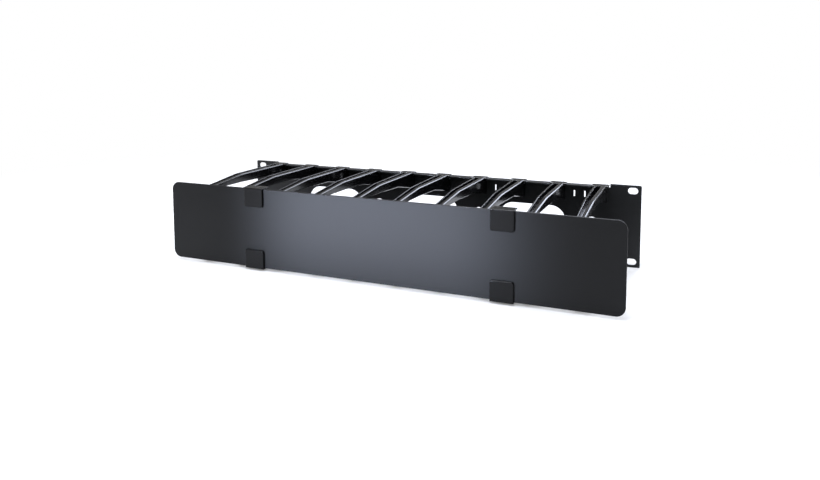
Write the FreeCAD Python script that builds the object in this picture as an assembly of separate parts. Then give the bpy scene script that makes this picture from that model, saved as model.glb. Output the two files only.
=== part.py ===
"""Horizontal cable manager, two rack units high, with push-on fingers and a hinged cover.

A folded steel back plate bolts to the front of a 19 inch rack.  Ten moulded fingers snap on its
top flange and ten more, mirrored, on its bottom flange.  A flat cover closes the front.  Four
moulded clips grip the cover's edges, and their open jaws snap on four steel rods that span the
gaps between the second and third finger from each side.  The upper pair of rods is the hinge,
and the lower jaws let go of theirs when the cover swings up.

Frame in millimetres: origin at the centre of the rack bolt pattern on the plate's back face,
+X to the right, +Y to the back, +Z up.  The cover faces -Y.
"""
import FreeCAD
import Part
import math
import os

from FreeCAD import Vector as V

# ---- rack standard --------------------------------------------------------------------------
rack_width = 482.6            # over both ears
plate_height = 88.1           # two rack units less the usual gap
bolt_edge_x = 8.75            # from a column of rack bolts to the end of its ear
bolt_edge_z = 5.95            # from the rack bolts to the ear's top or bottom
bolt_slot_length = 10.3
bolt_slot_width = 6.9

# ---- back plate -----------------------------------------------------------------------------
steel = 1.6                   # sheet thickness
flange_setback = 1.65         # of a flange from the top or bottom of the ears
ear_width = 33.3              # each ear stands this far beyond the flanges
flange_depth = 10.0           # how far the flanges reach forward of the plate's front face
bend_radius = 0.6             # inside radius of a fold
flange_edge = 0.5             # rounding of the coated front edge
relief_width = 1.2            # saw cut between a flange and its ear
ear_corner = 1.5

window_pitch = 125.0          # large obround cable windows
window_count = 3
window_length = 74.0
window_height = 32.0
strap_hole_pitch = 127.0      # small round strap holes, between and outside the windows
strap_hole_count = 4
strap_hole_diameter = 14.0

tie_point_pitch = 88.5        # pairs of narrow slits for a cable tie, above and below
tie_points_a_side = 2         # to the left and to the right of the middle
tie_slit_gap = 11.2           # between the two slits of a pair
tie_slit_width = 1.6
tie_slit_height = 6.8
tie_slit_z = 31.3

# ---- fingers --------------------------------------------------------------------------------
finger_count = 10
finger_end = 7.975            # from the flange's end to the middle of the outermost finger
finger_width = 12.0           # along the root
finger_tip_width = 8.4        # at the nose
narrow_reach = 40.0           # where the finger starts to narrow in plan
groove_width = 5.6            # between the slim left rail and the broad right rail
groove_tip_width = 3.2        # at the nose
groove_shift = 0.9            # the groove's middle lies left of the finger's
web = 1.8                     # floor of the groove
finger_edge = 0.8             # bevel of the long edges
root_depth = 20.5             # at the plate, from the outer to the inner face
root_reach = 48.4             # where the deep root has run out into the slim run
run_depth = 10.9              # at that place
bend_depth = 9.3              # where the finger starts to slope
bend_reach = 92.0             # that place, from the plate's front face
bend_blend = 70.0             # radius of the curves there
finger_slope = 5.9            # degrees, of the outer face from there to the tip
tip_reach = 150.6             # from the plate's front face to the end of the nose
nose_radius = 5.0             # round of the tip above the rod
lip_length = 9.5              # retaining lip, below the rod's axis
lip_wall = 4.1                # of the lip behind the rod's axis
lip_corner = 8.0              # inside round between the lip and the finger
groove_start = 14.0           # reach at which the open groove begins
groove_end_gap = 11.0         # solid length left at the tip
plate_gap = 0.3               # finger to plate and to flange

tongue_thickness = 1.3        # tongue that lies on the flange, flush with the outer face
tongue_width = 17.6
tongue_lip = 0.9              # hooks down in front of the flange's edge
tongue_bevel = 0.6            # where the tongue turns down into that lip
tongue_stop = 1.8             # its back end, ahead of the plate's front face
tongue_corner = 1.5
peg_width = 6.0               # square-cut peg under the tongue, in a punched hole of the flange
peg_length = 4.0
peg_reach = 5.6               # its place, forward of the plate's front face
peg_clearance = 0.25          # on each of its four sides
peg_short = 0.2               # the peg stops short of the flange's underside

# ---- cover ----------------------------------------------------------------------------------
cover_width = 482.6
cover_height = 83.6
cover_lift = 0.4              # the cover's centre above the plate's
cover_sheet = 1.5
cover_corner = 8.5
cover_gap = 2.4               # from the fingers' noses to the cover's back face
cover_edge = 0.4              # bevel of its front edges

# ---- hinge rods and cover clips -------------------------------------------------------------
rod_diameter = 4.0
rod_bore_clearance = 0.05     # radial, in the fingers
rod_grip = 4.0                # how deep each end sits in its finger
outer_bay_count = 1           # finger gaps between a clip's gap and the end
clip_width = 22.3
clip_plate = 2.5              # front face of the clip, ahead of the cover
clip_face_height = 20.1
clip_wrap = 0.8               # over the cover's edge
clip_overhang = 1.5           # the clip's roof ends this far behind the rod's axis
clip_corner = 2.4             # rounded lower corners of the face
clip_edge = 0.8
clip_leaf = 1.5               # leaf behind the cover
clip_leaf_height = 9.5
clip_fit = 0.1                # slot clearance each side of the cover's sheet
jaw_wall = 2.1                # ring around the rod
jaw_clearance = 0.08          # radial, on the rod
jaw_mouth = 3.4               # opening of the upper jaws, narrower than the rod they turn on
jaw_mouth_open = 4.7          # of the lower jaws, sprung open so that they leave their rods
jaw_flare = 0.6               # lead-in each side of the mouth
jaw_neck = 2.2                # the arm's back face, ahead of the rod's axis
jaw_inset = 0.6               # the jaws stand in from the clip's ends
jaw_cheek = 6.0               # width of each of the two jaws of a clip
rod_chamfer = 0.5

overshoot = 1.0               # how far every cutter runs past the faces it cuts
tolerance = 1e-4              # two lengths closer than this are the same

# ---- derived places -------------------------------------------------------------------------
front = -steel                               # plate's front face
flange_top = plate_height / 2 - flange_setback
flange_under = flange_top - steel
flange_front = front - flange_depth
flange_length = rack_width - 2 * ear_width
fold_start = flange_top - bend_radius - steel
bolt_x = rack_width / 2 - bolt_edge_x
bolt_z = plate_height / 2 - bolt_edge_z
finger_top = flange_top + tongue_thickness
finger_back = front - plate_gap
finger_notch = flange_front - plate_gap      # where the finger steps up ahead of the flange
tip_front = front - tip_reach
bend_y = front - bend_reach
root_y = front - root_reach
narrow_y = front - narrow_reach
slope = math.tan(math.radians(finger_slope))
run_z = finger_top - bend_depth              # inner face, level from the bend to the lip
run_slope = (run_depth - bend_depth) / (root_y - bend_y)
cover_back = tip_front - cover_gap
cover_front = cover_back - cover_sheet


def outer_face(y):
    """Height of a top finger's outer face at depth y, with a sharp bend."""
    return finger_top - max(0.0, bend_y - y) * slope


def narrowed(width, tip_width, y):
    """A width at depth y, on its way from the root to the nose."""
    return width + (tip_width - width) * max(0.0, narrow_y - y) / (narrow_y - tip_front)


def centred(count, pitch):
    """Places of a row of copies, centred on zero."""
    return [(index - (count - 1) / 2) * pitch for index in range(count)]


rod_y = tip_front + nose_radius
rod_z = outer_face(rod_y) - nose_radius / math.cos(math.radians(finger_slope))
rod_radius = rod_diameter / 2
finger_pitch = (flange_length - 2 * finger_end) / (finger_count - 1)
rod_gap_half = (finger_pitch - narrowed(finger_width, finger_tip_width, rod_y)) / 2
jaw_bore = rod_radius + jaw_clearance
jaw_radius = jaw_bore + jaw_wall

tie_point_places = [side * step * tie_point_pitch
                    for side in (-1, 1) for step in range(1, tie_points_a_side + 1)]
finger_places = centred(finger_count, finger_pitch)
outer_clip_bay = finger_places[-1] - (outer_bay_count + 1 / 2) * finger_pitch


# ---- small helpers --------------------------------------------------------------------------
def box(x0, x1, y0, y1, z0, z1):
    """Box between two corners."""
    return Part.makeBox(x1 - x0, y1 - y0, z1 - z0, V(x0, y0, z0))


def extrude_x(wire, x0, x1):
    """Solid from a closed wire in the plane x = 0, drawn out from x0 to x1."""
    face = Part.Face(wire)
    face.translate(V(x0, 0, 0))
    return face.extrude(V(x1 - x0, 0, 0))


def polygon_yz(points):
    """Closed wire in the plane x = 0 through (y, z) points."""
    corners = [V(0, y, z) for y, z in points]
    return Part.makePolygon(corners + corners[:1])


def rounded_outline(corners):
    """Closed wire in the plane x = 0 through (y, z, radius) corners, with tangent arcs."""
    points = [V(0, y, z) for y, z, _ in corners]
    ends = []
    for index, (_, _, radius) in enumerate(corners):
        here = points[index]
        before = (points[index - 1] - here).normalize()
        after = (points[(index + 1) % len(points)] - here).normalize()
        half_angle = before.getAngle(after) / 2
        reach = radius / math.tan(half_angle)
        middle = (before + after).normalize()
        depth = radius / math.sin(half_angle) - radius
        ends.append((here + before * reach, here + middle * depth, here + after * reach))
    edges = []
    for index, (entry, crown, leave) in enumerate(ends):
        if corners[index][2] > 0:
            edges.append(arc(entry, crown, leave))
        following = ends[(index + 1) % len(ends)][0]
        if leave.distanceToPoint(following) > tolerance:
            edges.append(line(leave, following))
    return Part.Wire(edges)


def obround(x, z, length, width):
    """Obround cutter through the back plate, with its length along x."""
    y0, y1 = front - overshoot, overshoot
    half = (length - width) / 2
    radius = width / 2
    left, right = x - half, x + half
    upper = Part.LineSegment(V(left, y0, z + radius), V(right, y0, z + radius))
    lower = Part.LineSegment(V(right, y0, z - radius), V(left, y0, z - radius))
    nose = Part.Arc(V(right, y0, z + radius), V(right + radius, y0, z), V(right, y0, z - radius))
    tail = Part.Arc(V(left, y0, z - radius), V(left - radius, y0, z), V(left, y0, z + radius))
    wire = Part.Wire([edge.toShape() for edge in (upper, nose, lower, tail)])
    return Part.Face(wire).extrude(V(0, y1 - y0, 0))


def rod_along_x(radius, x0, x1, y, z):
    """Cylinder along x."""
    return Part.makeCylinder(radius, x1 - x0, V(x0, y, z), V(1, 0, 0))


def upside_down(shape):
    """Mirror image below the middle plane."""
    return shape.mirror(V(0, 0, 0), V(0, 0, 1))


def turned_over(shape):
    """Copy turned half round the depth axis, so that the same moulding serves the bottom row."""
    return shape.rotated(V(0, 0, 0), V(0, 1, 0), 180)


def edges_where(shape, test):
    """Edges of a shape whose two ends pass a test."""
    return [edge for edge in shape.Edges if all(test(v.Point) for v in edge.Vertexes)]


def near(a, b):
    """True if two lengths are the same place."""
    return abs(a - b) < tolerance


def line(a, b):
    """Straight edge."""
    return Part.LineSegment(a, b).toShape()


def arc(a, b, c):
    """Arc edge through three points."""
    return Part.Arc(a, b, c).toShape()


def peg(x, clearance, z0, z1):
    """Block in a flange's punched hole at x, wider than the peg by a clearance each side."""
    half_width = peg_width / 2 + clearance
    half_length = peg_length / 2 + clearance
    y = front - peg_reach
    return box(x - half_width, x + half_width, y - half_length, y + half_length, z0, z1)


# ---- back plate -----------------------------------------------------------------------------
def folded_flange():
    """Top flange with its fold, in place."""
    outline = rounded_outline([
        (0, fold_start, 0),
        (0, flange_top, bend_radius + steel),
        (flange_front, flange_top, flange_edge),
        (flange_front, flange_under, 0),
        (front, flange_under, bend_radius),
        (front, fold_start, 0),
    ])
    return extrude_x(outline, -flange_length / 2, flange_length / 2)


def back_plate():
    """Folded sheet with ears, flanges, cable windows, strap holes and tie slits."""
    half = rack_width / 2
    sheet = box(-half, half, front, 0, -plate_height / 2, plate_height / 2)
    corners = [edge for edge in sheet.Edges if near(edge.Length, steel)]
    sheet = sheet.makeFillet(ear_corner, corners)
    notch_half = flange_length / 2 + relief_width
    notch = box(-notch_half, notch_half, front - overshoot, overshoot, fold_start, plate_height)
    flange = folded_flange()
    plate = sheet.cut([notch, upside_down(notch)])
    plate = plate.fuse([flange, upside_down(flange)]).removeSplitter()

    cutters = [obround(x, 0, window_length, window_height)
               for x in centred(window_count, window_pitch)]
    cutters += [Part.makeCylinder(strap_hole_diameter / 2, steel + 2 * overshoot,
                                  V(x, front - overshoot, 0), V(0, 1, 0))
                for x in centred(strap_hole_count, strap_hole_pitch)]
    cutters += [obround(x, z, bolt_slot_length, bolt_slot_width)
                for x in (-bolt_x, bolt_x) for z in (-bolt_z, bolt_z)]
    for place in tie_point_places:
        for side in (-1, 1):
            x = place + side * tie_slit_gap / 2
            slit = box(x - tie_slit_width / 2, x + tie_slit_width / 2, front - overshoot,
                       overshoot, tie_slit_z - tie_slit_height / 2,
                       tie_slit_z + tie_slit_height / 2)
            cutters += [slit, upside_down(slit)]
    for x in finger_places:
        hole = peg(x, peg_clearance, flange_under - overshoot, flange_top + overshoot)
        cutters += [hole, upside_down(hole)]
    return plate.cut(cutters)


# ---- fingers --------------------------------------------------------------------------------
def finger_side():
    """Side profile of a top finger, as a closed wire in the plane x = 0."""
    under = flange_under - plate_gap
    lip_z = rod_z - lip_length
    lip_back = rod_y + lip_wall
    return rounded_outline([
        (finger_notch, finger_top, 0),
        (bend_y, finger_top, bend_blend),
        (tip_front, outer_face(tip_front), nose_radius),
        (tip_front, lip_z, 0),
        (lip_back, lip_z, 0),
        (lip_back, run_z, lip_corner),
        (bend_y, run_z, bend_blend),
        (root_y, finger_top - run_depth, 0),
        (finger_back, finger_top - root_depth, 0),
        (finger_back, under, 0),
        (finger_notch, under, 0),
    ])


def narrowing(middle, width, tip_width, y_range, z_range):
    """Block that narrows towards the nose as the finger does, between two depths and heights."""
    y0, y1 = y_range
    z0, z1 = z_range
    slim = narrowed(width, tip_width, y0)
    plan = [(-width, y1), (-width, narrow_y), (-slim, y0), (slim, y0), (width, narrow_y), (width, y1)]
    corners = [V(middle + across / 2, y, z0) for across, y in plan]
    face = Part.Face(Part.makePolygon(corners + corners[:1]))
    return face.extrude(V(0, 0, z1 - z0))


def finger_groove():
    """Cutter for the open groove between the two rails."""
    back = front - groove_start
    nose_end = tip_front + groove_end_gap
    above = finger_top + overshoot
    floor_bend = run_z + web
    floor_back = floor_bend - (back - bend_y) * run_slope
    profile = polygon_yz([
        (back, above),
        (back, floor_back),
        (bend_y, floor_bend),
        (nose_end, floor_bend),
        (nose_end, above),
    ])
    plan = narrowing(-groove_shift, groove_width, groove_tip_width, (nose_end, back),
                     (floor_back, above))
    return extrude_x(profile, -finger_width, finger_width).common(plan)


def long_edges(body):
    """Edges along a finger's two sides, ahead of the flange."""
    found = []
    for edge in body.Edges:
        middle = edge.CenterOfMass
        crosswise = abs(middle.x) < finger_tip_width / 2 - tolerance
        upright = all(near(v.Y, narrow_y) for v in edge.Vertexes)
        at_steel = middle.y > finger_notch - tolerance
        if not (crosswise or upright or at_steel):
            found.append(edge)
    return found


def flange_tongue():
    """Tongue that hooks over the flange, with the peg that sits in the flange's hole."""
    half = tongue_width / 2
    back = front - tongue_stop
    lip_front = finger_notch - tongue_lip
    outline = polygon_yz([
        (lip_front + tongue_bevel, finger_top),
        (lip_front, finger_top - tongue_bevel),
        (lip_front, flange_under),
        (finger_notch, flange_under),
        (finger_notch, flange_top),
        (back, flange_top),
        (back, finger_top),
    ])
    tongue = extrude_x(outline, -half, half)
    corners = [edge for edge in edges_where(tongue, lambda p: near(p.y, back))
               if near(edge.Length, tongue_thickness)]
    tongue = tongue.makeChamfer(tongue_corner, corners)
    return tongue.fuse(peg(0, 0, flange_under + peg_short, flange_top))


def top_finger():
    """Moulded finger of the top row, at x = 0."""
    half = finger_width / 2
    blank = narrowing(0, finger_width, finger_tip_width, (tip_front, finger_back),
                      (rod_z - lip_length, finger_top))
    body = extrude_x(finger_side(), -half, half).common(blank)
    body = body.makeChamfer(finger_edge, long_edges(body))
    body = body.cut(finger_groove()).fuse(flange_tongue())
    bore = rod_along_x(rod_radius + rod_bore_clearance, -half - overshoot, half + overshoot,
                       rod_y, rod_z)
    return body.cut(bore).removeSplitter()


# ---- cover and its clips --------------------------------------------------------------------
def cover():
    """Flat cover with rounded corners."""
    low, high = cover_edge_z("bottom"), cover_edge_z("top")
    sheet = box(-cover_width / 2, cover_width / 2, cover_front, cover_back, low, high)
    corners = [edge for edge in sheet.Edges if near(edge.Length, cover_sheet)]
    sheet = sheet.makeFillet(cover_corner, corners)
    rim = edges_where(sheet, lambda p: near(p.y, cover_front))
    return sheet.makeChamfer(cover_edge, rim)


def cover_edge_z(side):
    """Height of the cover's top or bottom edge."""
    return cover_lift + (cover_height / 2 if side == "top" else -cover_height / 2)


def jaw_cutter(mouth):
    """Cutter for the bore of the jaws and their flared mouth, towards the plate."""
    half = clip_width / 2
    low, high = rod_z - mouth / 2, rod_z + mouth / 2
    jaw_back = rod_y + jaw_bore
    flare_back = rod_y + jaw_radius
    opening = extrude_x(polygon_yz([
        (rod_y, low), (rod_y, high), (jaw_back, high), (flare_back, high + jaw_flare),
        (flare_back + overshoot, high + jaw_flare), (flare_back + overshoot, low - jaw_flare),
        (flare_back, low - jaw_flare), (jaw_back, low),
    ]), -half, half)
    return opening.fuse(rod_along_x(jaw_bore, -half, half, rod_y, rod_z))


def clip(edge_z, mouth):
    """Clip at x = 0 for a cover edge at height edge_z above the middle plane."""
    half = clip_width / 2
    top = edge_z + clip_fit + clip_wrap
    face_front = cover_front - clip_plate
    leaf_front = cover_back + clip_fit
    slab = box(-half, half, face_front, cover_front - clip_fit, top - clip_face_height, top)
    lower = [edge for edge in edges_where(slab, lambda p: near(p.z, top - clip_face_height))
             if near(edge.Length, clip_plate - clip_fit)]
    slab = slab.makeFillet(clip_corner, lower)
    roof = box(-half, half, face_front, rod_y + clip_overhang, edge_z + clip_fit, top)
    body = slab.fuse(roof).removeSplitter()
    body = body.makeFillet(clip_edge, edges_where(body, lambda p: near(p.y, face_front)))
    pieces = [box(-half, half, leaf_front, leaf_front + clip_leaf, top - clip_leaf_height, top)]
    cheek_centre = half - jaw_inset - jaw_cheek / 2
    for x in (-cheek_centre, cheek_centre):
        x0, x1 = x - jaw_cheek / 2, x + jaw_cheek / 2
        pieces.append(box(x0, x1, leaf_front, rod_y - jaw_neck, rod_z - jaw_neck, top))
        pieces.append(rod_along_x(jaw_radius, x0, x1, rod_y, rod_z))
    return body.fuse(pieces).cut(jaw_cutter(mouth)).removeSplitter()


def hinge_rod():
    """Steel rod at x = 0 across one finger gap, seated in both fingers."""
    half = rod_gap_half + rod_grip
    rod = rod_along_x(rod_radius, -half, half, rod_y, rod_z)
    ends = [edge for edge in rod.Edges if near(abs(edge.CenterOfMass.x), half)]
    return rod.makeChamfer(rod_chamfer, ends)


# ---- the assembly ---------------------------------------------------------------------------
def moved_x(shape, x):
    """Copy of a shape moved along x."""
    placed = shape.copy()
    placed.translate(V(x, 0, 0))
    return placed


def build():
    """All pieces by node name."""
    nodes = {"back_plate": back_plate(), "cover": cover()}
    upper_finger = top_finger()
    lower_finger = turned_over(upper_finger)
    for number, x in enumerate(finger_places, start=1):
        nodes[f"finger_top_{number:02d}"] = moved_x(upper_finger, x)
        nodes[f"finger_bottom_{number:02d}"] = moved_x(lower_finger, x)
    rows = {
        "top": (clip(cover_edge_z("top"), jaw_mouth), hinge_rod()),
        "bottom": (upside_down(clip(-cover_edge_z("bottom"), jaw_mouth_open)),
                   upside_down(hinge_rod())),
    }
    for row, (row_clip, row_rod) in rows.items():
        for side, sign in (("left", -1), ("right", 1)):
            nodes[f"cover_clip_{row}_{side}"] = moved_x(row_clip, sign * outer_clip_bay)
            nodes[f"hinge_rod_{row}_{side}"] = moved_x(row_rod, sign * outer_clip_bay)
    return nodes


os.makedirs("parts", exist_ok=True)
for name, shape in build().items():
    shape.exportStep(os.path.join("parts", name + ".step"))
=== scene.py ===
"""Finishes, camera and studio for a two-unit horizontal cable manager.

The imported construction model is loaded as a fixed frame.  Each group of its nodes gets the finish
of the real material, and the studio adds a pale floor, soft light and the camera.  Lengths are in
metres.
"""

import logging
import math
from dataclasses import dataclass
from enum import Enum
from fnmatch import fnmatchcase

import bpy
from mathutils import Matrix, Quaternion, Vector


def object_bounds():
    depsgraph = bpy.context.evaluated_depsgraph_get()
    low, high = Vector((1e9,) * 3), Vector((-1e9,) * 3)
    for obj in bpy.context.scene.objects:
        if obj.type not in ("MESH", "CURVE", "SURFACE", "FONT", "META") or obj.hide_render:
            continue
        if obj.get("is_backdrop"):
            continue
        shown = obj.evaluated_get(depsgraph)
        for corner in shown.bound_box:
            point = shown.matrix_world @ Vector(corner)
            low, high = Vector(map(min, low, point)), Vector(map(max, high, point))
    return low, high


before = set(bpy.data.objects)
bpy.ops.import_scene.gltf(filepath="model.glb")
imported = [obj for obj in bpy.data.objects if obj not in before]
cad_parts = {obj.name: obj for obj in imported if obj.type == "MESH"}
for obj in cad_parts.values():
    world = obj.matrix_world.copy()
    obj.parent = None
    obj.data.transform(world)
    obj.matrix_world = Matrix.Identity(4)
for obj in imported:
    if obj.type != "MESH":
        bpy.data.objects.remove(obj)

LOG = logging.getLogger("cable_manager")

Socket = bpy.types.NodeSocket
Setting = float | tuple[float, ...] | Socket

WHITE = "#ffffff"


def linear(hex_colour: str) -> tuple[float, float, float, float]:
    """Turns an sRGB hex colour into linear RGBA.

    Args:
        hex_colour: Six hex digits, with or without a leading hash.

    Returns:
        The linear red, green and blue, with an alpha of one.
    """
    digits = hex_colour.lstrip("#")
    channels = [int(digits[i:i + 2], 16) / 255 for i in (0, 2, 4)]
    rgb = [c / 12.92 if c <= 0.04045 else ((c + 0.055) / 1.055) ** 2.4 for c in channels]
    return rgb[0], rgb[1], rgb[2], 1.0


def add_node(tree: bpy.types.NodeTree, kind: str, inputs: dict[str | int, Setting],
             **settings: str | int) -> bpy.types.Node:
    """Adds a shader node with its settings and inputs.

    Args:
        tree: Node tree to add it to.
        kind: Blender's name of the node's type.
        inputs: What each input gets: the socket to link to it, or its own value.
        settings: The node's own options, such as its operation.

    Returns:
        The new node.
    """
    node = tree.nodes.new(kind)
    for name, option in settings.items():
        setattr(node, name, option)
    for name, value in inputs.items():
        if isinstance(value, Socket):
            tree.links.new(value, node.inputs[name])
        else:
            node.inputs[name].default_value = value
    return node


def add_material(name: str, values: dict[str, Setting]) -> tuple[bpy.types.Material,
                                                                 bpy.types.Node]:
    """Adds a material with a Principled shader.

    Args:
        name: The material's name.
        values: The shader's inputs that are the same all over the surface.

    Returns:
        The material and its shader.
    """
    material = bpy.data.materials.new(name)
    material.use_nodes = True
    shader = material.node_tree.nodes["Principled BSDF"]
    for socket, value in values.items():
        shader.inputs[socket].default_value = value
    return material, shader


class Grain(Enum):
    """Which way a surface's fine grain runs: how much it is stretched along the part's width."""

    EVEN = 1.0
    DRAWN = 25.0


@dataclass(frozen=True)
class Finish:
    """A procedural surface finish, in object coordinates."""

    name: str
    colour: str
    dark_colour: str
    roughness: float
    roughness_spread: float
    specular: float
    grain_size: float
    grain_depth: float
    grain: Grain = Grain.EVEN
    grain_detail: float = 2.0
    cloud_size: float = 0.05
    cloud_detail: float = 3.0
    edge_radius: float = 0.0
    edge_samples: int = 6
    metallic: float = 0.0

    def build(self) -> bpy.types.Material:
        """Makes the material.

        Returns:
            The finished node material.
        """
        material, shader = add_material(self.name, {
            "Specular IOR Level": self.specular, "Metallic": self.metallic})
        tree = material.node_tree
        place = add_node(tree, "ShaderNodeTexCoord", {}).outputs["Object"]
        if self.grain is not Grain.EVEN:
            place = add_node(tree, "ShaderNodeMapping", {
                "Vector": place, "Scale": (1.0 / self.grain.value, 1.0, 1.0)}).outputs["Vector"]
        clouds, grains = (
            add_node(tree, "ShaderNodeTexNoise", {
                "Vector": place, "Scale": 1.0 / size, "Detail": detail}).outputs["Fac"]
            for size, detail in ((self.cloud_size, self.cloud_detail),
                                 (self.grain_size, self.grain_detail)))

        tone = add_node(tree, "ShaderNodeMix", {
            "Factor": clouds, "A": linear(self.dark_colour), "B": linear(self.colour)},
            data_type="RGBA")
        gloss = add_node(tree, "ShaderNodeMapRange", {
            "Value": grains, "To Min": self.roughness - self.roughness_spread,
            "To Max": self.roughness + self.roughness_spread})
        bump = add_node(tree, "ShaderNodeBump", {"Height": grains, "Distance": self.grain_depth})
        if self.edge_radius > 0:
            edges = add_node(tree, "ShaderNodeBevel", {"Radius": self.edge_radius},
                             samples=self.edge_samples)
            tree.links.new(edges.outputs["Normal"], bump.inputs["Normal"])
        tree.links.new(tone.outputs["Result"], shader.inputs["Base Color"])
        tree.links.new(gloss.outputs["Result"], shader.inputs["Roughness"])
        tree.links.new(bump.outputs["Normal"], shader.inputs["Normal"])
        return material


# Polyester powder, sprayed and baked on folded steel: near-black, with a skin that blurs every
# reflection.  Its grains of about 0.2 mm are drawn at 0.6 mm, so that they show.
PLATE_POWDER_COAT = Finish(
    name="black_powder_coat_on_folded_steel", colour="#1a1b1d", dark_colour="#161718",
    roughness=0.38, roughness_spread=0.05, specular=0.35, grain_size=0.0006,
    grain_depth=0.00003, edge_radius=0.0004)

# The same powder, finer, on flat sheet: smooth enough to carry one wide gradient across the cover.
# Its grains are drawn at 0.5 mm, about twice their size.
COVER_POWDER_COAT = Finish(
    name="satin_black_powder_coat_on_steel_sheet", colour="#101113", dark_colour="#0e0f11",
    roughness=0.42, roughness_spread=0.03, specular=0.25, grain_size=0.0005,
    grain_depth=0.000015, edge_radius=0.0003)

# Polycarbonate out of a polished mould: almost black, with crisp bright lines along its edges.
# The mould's grain of about 0.05 mm is drawn at 0.4 mm.
FINGER_PLASTIC = Finish(
    name="black_moulded_polycarbonate", colour="#0d0d0f", dark_colour="#0a0a0b",
    roughness=0.17, roughness_spread=0.03, specular=0.6, grain_size=0.0004,
    grain_depth=0.000003, edge_radius=0.0009)

# Nylon out of a satin mould: darker than the cover behind it, with soft round edges.
# Its grain of about 0.1 mm is drawn at 0.4 mm.
CLIP_PLASTIC = Finish(
    name="satin_black_moulded_nylon", colour="#09090a", dark_colour="#070708",
    roughness=0.18, roughness_spread=0.03, specular=0.24, grain_size=0.0004,
    grain_depth=0.000005, edge_radius=0.0018)

# Low-carbon steel, drawn and blackened: a dark metal with fine lines along its length, drawn
# 0.4 mm apart where the real ones are too fine to show.
ROD_STEEL = Finish(
    name="blackened_drawn_steel", colour="#3a3b3e", dark_colour="#2c2d30", roughness=0.35,
    roughness_spread=0.08, specular=0.5, grain_size=0.0004, grain_depth=0.00001,
    grain=Grain.DRAWN, metallic=1.0)


@dataclass(frozen=True)
class CadGroup:
    """Construction nodes that share one finish."""

    title: str
    node_names: str
    finish: Finish

    def dress(self) -> None:
        """Gives every node of the group its finish."""
        material = self.finish.build()
        names = [name for name in sorted(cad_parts) if fnmatchcase(name, self.node_names)]
        for name in names:
            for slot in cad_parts[name].material_slots:
                slot.material = material
        LOG.info("%s: %d nodes in %s", self.title, len(names), self.finish.name)


@dataclass(frozen=True)
class Softbox:
    """A rectangular lamp, with a grid where its beam is narrow."""

    name: str
    place: tuple[float, float, float]
    aim: tuple[float, float, float]
    size: tuple[float, float]
    power: float
    colour: str
    beam_deg: float = 180.0
    roll_deg: float = 0.0

    def build(self) -> None:
        """Adds the lamp, unseen by the camera itself."""
        data = bpy.data.lights.new(self.name, "AREA")
        data.shape = "RECTANGLE"
        data.size, data.size_y = self.size
        data.energy = self.power
        data.spread = math.radians(self.beam_deg)
        data.color = linear(self.colour)[:3]
        lamp = bpy.data.objects.new(self.name, data)
        bpy.context.scene.collection.objects.link(lamp)
        lamp.location = self.place
        towards = Vector(self.aim) - Vector(self.place)
        roll = Quaternion((0.0, 0.0, 1.0), math.radians(self.roll_deg))
        lamp.rotation_euler = (towards.to_track_quat("-Z", "Y") @ roll).to_euler()
        lamp.visible_camera = False


@dataclass(frozen=True)
class Ramp:
    """A smooth change of a value between two levels."""

    start: float
    end: float
    first: float = 0.0
    last: float = 1.0

    def build(self, tree: bpy.types.NodeTree, value: Socket) -> Socket:
        """Adds the change to a node tree.

        Args:
            tree: Node tree to add it to.
            value: The value's socket.

        Returns:
            The level's socket.
        """
        return add_node(tree, "ShaderNodeMapRange", {
            "Value": value, "From Min": self.start, "From Max": self.end,
            "To Min": self.first, "To Max": self.last},
            interpolation_type="SMOOTHSTEP").outputs["Result"]


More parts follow.
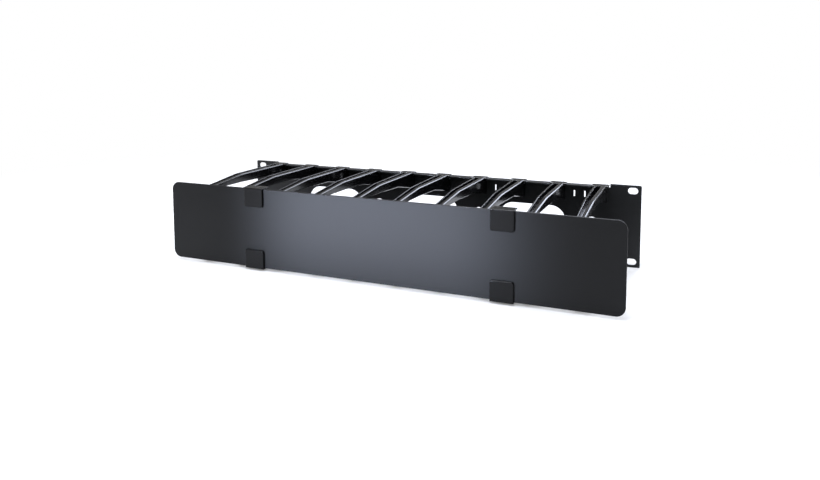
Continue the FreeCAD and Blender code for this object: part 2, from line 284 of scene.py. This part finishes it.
@dataclass(frozen=True)
class Studio:
    """Pale floor, white surroundings and soft lamps.

    The sweep and the ceiling are brightness by the height of a direction, from 0 level to 1
    overhead.  They show in reflections alone.
    """

    floor_size: float = 8.0
    floor_colour: str = "#e6e6e6"
    floor_roughness: float = 0.9
    floor_lift: float = 0.2
    floor_fade: Ramp = Ramp(start=0.45, end=0.95)
    fill_strength: float = 0.5
    sweep: Ramp = Ramp(start=0.0, end=0.16, first=0.9, last=0.2)
    ceiling: Ramp = Ramp(start=0.3, end=0.7)
    softboxes: tuple[Softbox, ...] = (
        Softbox("overhead_strip", place=(-0.25, -0.25, 1.4), aim=(-0.05, -0.1, 0.0),
                size=(1.2, 0.5), power=28.0, colour="#f0f4ff"),
        # Low and narrow, it lights the middle of the cover and leaves its ends dark.
        Softbox("gridded_front_softbox", place=(-0.26, -0.75, 0.03), aim=(0.01, -0.156, 0.0),
                size=(0.24, 0.12), power=0.25, colour="#e0e9ff", beam_deg=12.0),
        # It stands where the fingers' bevelled edges mirror it to the camera.
        Softbox("slanted_back_softbox", place=(0.4, 1.2, 0.77), aim=(0.0, -0.05, 0.03),
                size=(0.95, 0.5), power=11.0, colour="#e6edff", roll_deg=65.0),
    )

    def build(self, lowest: float) -> None:
        """Makes the floor, the surroundings and the lamps.

        Args:
            lowest: Height of the object's lowest point.
        """
        self._surroundings()
        self._floor(lowest)
        for softbox in self.softboxes:
            softbox.build()

    def _surroundings(self) -> None:
        """White to the camera, a room with a bright ceiling in reflections, and an even fill."""
        world = bpy.data.worlds.new("white_surroundings")
        bpy.context.scene.world = world
        world.use_nodes = True
        tree = world.node_tree
        background = tree.nodes["Background"]
        background.inputs["Color"].default_value = linear(WHITE)
        rays = add_node(tree, "ShaderNodeLightPath", {}).outputs
        direction = add_node(tree, "ShaderNodeTexCoord", {}).outputs["Generated"]
        height = add_node(tree, "ShaderNodeSeparateXYZ", {"Vector": direction}).outputs["Z"]
        room = add_node(tree, "ShaderNodeMath", {
            0: self.sweep.build(tree, height), 1: self.ceiling.build(tree, height)},
            operation="MAXIMUM")
        lit = add_node(tree, "ShaderNodeMix", {
            "Factor": rays["Is Glossy Ray"], "A": self.fill_strength, "B": room.outputs["Value"]},
            data_type="FLOAT")
        seen = add_node(tree, "ShaderNodeMath", {
            0: rays["Is Camera Ray"], 1: rays["Is Transmission Ray"]}, operation="MAXIMUM")
        strength = add_node(tree, "ShaderNodeMix", {
            "Factor": seen.outputs["Value"], "A": lit.outputs["Result"], "B": 1.0},
            data_type="FLOAT")
        tree.links.new(strength.outputs["Result"], background.inputs["Strength"])

    def _floor(self, lowest: float) -> None:
        """Adds a pale floor that keeps the object's shadow and runs out into plain white.

        Args:
            lowest: Height of the floor.
        """
        bpy.ops.object.select_all(action="DESELECT")
        bpy.ops.mesh.primitive_plane_add(size=self.floor_size, location=(0, 0, lowest))
        floor = bpy.context.object
        floor.name = "floor"
        material, shader = add_material("pale_studio_floor", {
            "Base Color": linear(self.floor_colour), "Roughness": self.floor_roughness,
            "Specular IOR Level": 0.0, "Emission Color": linear(WHITE)})
        tree = material.node_tree
        seen = add_node(tree, "ShaderNodeLightPath", {}).outputs["Is Camera Ray"]
        lift = add_node(tree, "ShaderNodeMath", {0: seen, 1: self.floor_lift},
                        operation="MULTIPLY")
        tree.links.new(lift.outputs["Value"], shader.inputs["Emission Strength"])

        place = add_node(tree, "ShaderNodeTexCoord", {}).outputs["Object"]
        reach = add_node(tree, "ShaderNodeVectorMath", {0: place}, operation="LENGTH")
        far = add_node(tree, "ShaderNodeMath", {
            0: self.floor_fade.build(tree, reach.outputs["Value"]), 1: seen},
            operation="MULTIPLY")
        white = add_node(tree, "ShaderNodeEmission", {"Color": linear(WHITE)})
        surface = add_node(tree, "ShaderNodeMixShader", {
            "Fac": far.outputs["Value"], 1: shader.outputs["BSDF"], 2: white.outputs["Emission"]})
        tree.links.new(surface.outputs["Shader"], tree.nodes["Material Output"].inputs["Surface"])
        floor.data.materials.append(material)
        floor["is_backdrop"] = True


@dataclass(frozen=True)
class StudioCamera:
    """The camera, with a shifted lens that keeps uprights nearly upright."""

    place: tuple[float, float, float] = (0.2888, -0.7275, 0.1771)
    turn_deg: float = 21.71
    down_deg: float = 4.99
    roll_deg: float = 0.03
    lens_mm: float = 29.37
    sensor_mm: float = 36.0
    shift: tuple[float, float] = (-0.0217, -0.15)

    def build(self) -> None:
        """Makes the camera and uses it."""
        turn, down = math.radians(self.turn_deg), math.radians(self.down_deg)
        forward = Vector((-math.sin(turn) * math.cos(down), math.cos(turn) * math.cos(down),
                          -math.sin(down)))
        right = Vector((math.cos(turn), math.sin(turn), 0.0))
        up = right.cross(forward)
        axes = Matrix((right, up, -forward)).transposed()
        roll = Matrix.Rotation(math.radians(-self.roll_deg), 3, forward)
        data = bpy.data.cameras.new("camera")
        data.sensor_width = self.sensor_mm
        data.lens = self.lens_mm
        data.shift_x, data.shift_y = self.shift
        camera = bpy.data.objects.new("camera", data)
        bpy.context.scene.collection.objects.link(camera)
        camera.matrix_world = Matrix.Translation(self.place) @ (roll @ axes).to_4x4()
        bpy.context.scene.camera = camera


def main() -> None:
    """Dresses the cable manager and sets up its studio."""
    logging.basicConfig(level=logging.INFO, format="%(message)s")
    bpy.context.scene.view_settings.view_transform = "Standard"
    cad_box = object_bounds()
    groups = (
        CadGroup("Back plate", "back_plate", PLATE_POWDER_COAT),
        CadGroup("Fingers", "finger_*", FINGER_PLASTIC),
        CadGroup("Cover", "cover", COVER_POWDER_COAT),
        CadGroup("Cover clips", "cover_clip_*", CLIP_PLASTIC),
        CadGroup("Hinge rods", "hinge_rod_*", ROD_STEEL),
    )
    for group in groups:
        group.dress()
    Studio().build(lowest=cad_box[0].z)
    StudioCamera().build()


if __name__ == "__main__":
    main()
